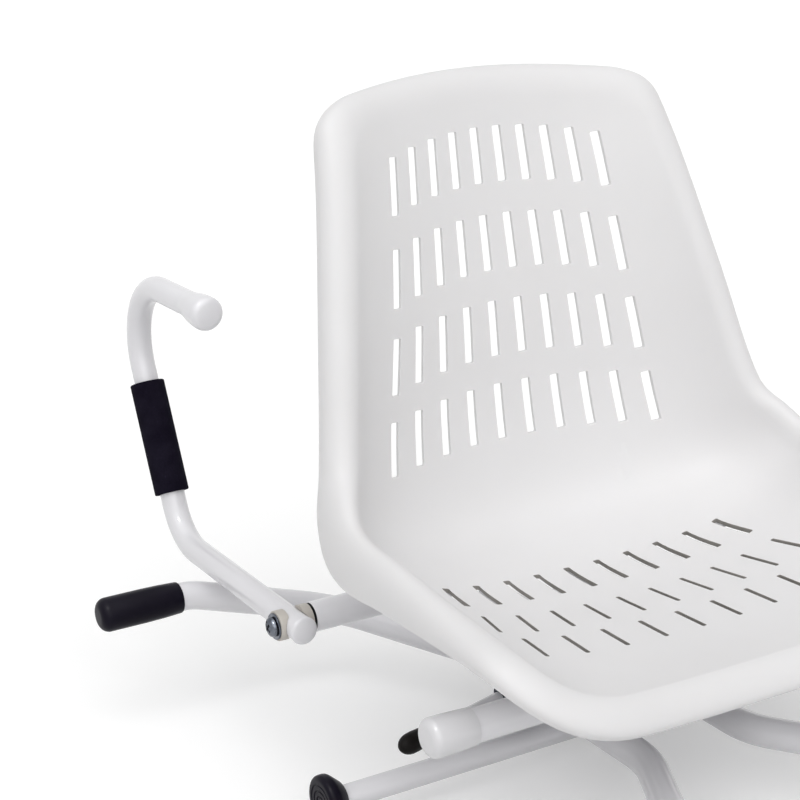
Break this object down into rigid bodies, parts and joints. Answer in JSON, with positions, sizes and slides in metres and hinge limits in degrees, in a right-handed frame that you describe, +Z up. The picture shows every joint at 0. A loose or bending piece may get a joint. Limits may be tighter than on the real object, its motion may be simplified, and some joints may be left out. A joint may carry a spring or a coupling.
{
  "type": "swivel bath seat",
  "caption": "Moulded bucket seat with drain slots on a locking turntable, carried across a bath by bent tubes on rubber sleeves, with a fold-back armrest.",
  "frame": {"origin": "on the swivel axis, in the plane of the bath's rims that the four rubber sleeves rest on", "axes": "+Z up along the swivel axis, the seat faces -Y, +X is the sitter's left"},
  "size_m": [0.676, 0.7056, 0.5354],
  "materials": {
    "tube_white": "white powder coat, glossy",
    "shell_white": "white moulded plastic, fine matt grain",
    "cap_white": "white moulded plastic, smooth",
    "rubber_black": "black dipped rubber, satin",
    "foam_dark": "very dark closed-cell foam, matt",
    "plastic_beige": "beige moulded plastic, satin",
    "steel_zinc": "bright zinc plate",
    "plastic_glide": "natural low-friction plastic"
  },
  "bodies": {
    "base_frame": {"frame_tube_left": "tube_white", "frame_tube_right": "tube_white", "centre_bar": "tube_white", "bath_stop_left": "rubber_black", "bath_stop_right": "rubber_black", "rim_sleeve_front_left": "rubber_black", "rim_sleeve_front_right": "rubber_black", "rim_sleeve_rear_left": "rubber_black", "rim_sleeve_rear_right": "rubber_black", "base_plate": "tube_white", "index_plate": "steel_zinc", "glide_ring": "plastic_glide", "spindle": "steel_zinc", "spindle_washer": "steel_zinc", "spindle_nut": "steel_zinc"},
    "seat": {"turntable_plate": "tube_white", "carrier_rail_left": "tube_white", "carrier_rail_right": "tube_white", "cross_tube_front": "tube_white", "cross_tube_rear": "tube_white", "tube_cap_front_left": "cap_white", "tube_cap_front_right": "cap_white", "tube_cap_rear_left": "cap_white", "rear_tube_insert": "plastic_beige", "seat_shell": "shell_white", "shell_screw_front_left": "steel_zinc", "shell_screw_front_right": "steel_zinc", "shell_screw_rear_left": "steel_zinc", "shell_screw_rear_right": "steel_zinc", "lever_pivot_bolt": "steel_zinc", "lever_pivot_spacer": "steel_zinc", "lever_pivot_nut": "steel_zinc", "lever_spring": "steel_zinc"},
    "armrest": {"armrest_tube": "tube_white", "armrest_grip": "foam_dark", "armrest_end_cap": "cap_white", "armrest_plug": "cap_white", "saddle_inner": "plastic_beige", "saddle_outer": "plastic_beige", "armrest_washer": "steel_zinc", "armrest_screw": "steel_zinc"},
    "swivel_lock": {"pawl": "steel_zinc", "release_lever": "tube_white", "lever_grip": "rubber_black"}
  },
  "joints": [
    {"name": "seat_swivel", "type": "hinge", "parent": "base_frame", "child": "seat", "pos_m": [0, 0, 0], "axis": [0, 0, 1], "continuous": true},
    {"name": "armrest_swing", "type": "hinge", "parent": "seat", "child": "armrest", "pos_m": [-0.232, 0.1165, 0.0425], "axis": [1, 0, 0], "range_deg": [0, 90]},
    {"name": "lever_release", "type": "hinge", "parent": "seat", "child": "swivel_lock", "pos_m": [-0.09706, 0.00937, -0.0134], "axis": [0, 0, -1], "range_deg": [0, 12], "stiffness_Nm_per_rad": 0.3, "springref_deg": -17.19}
  ]
}
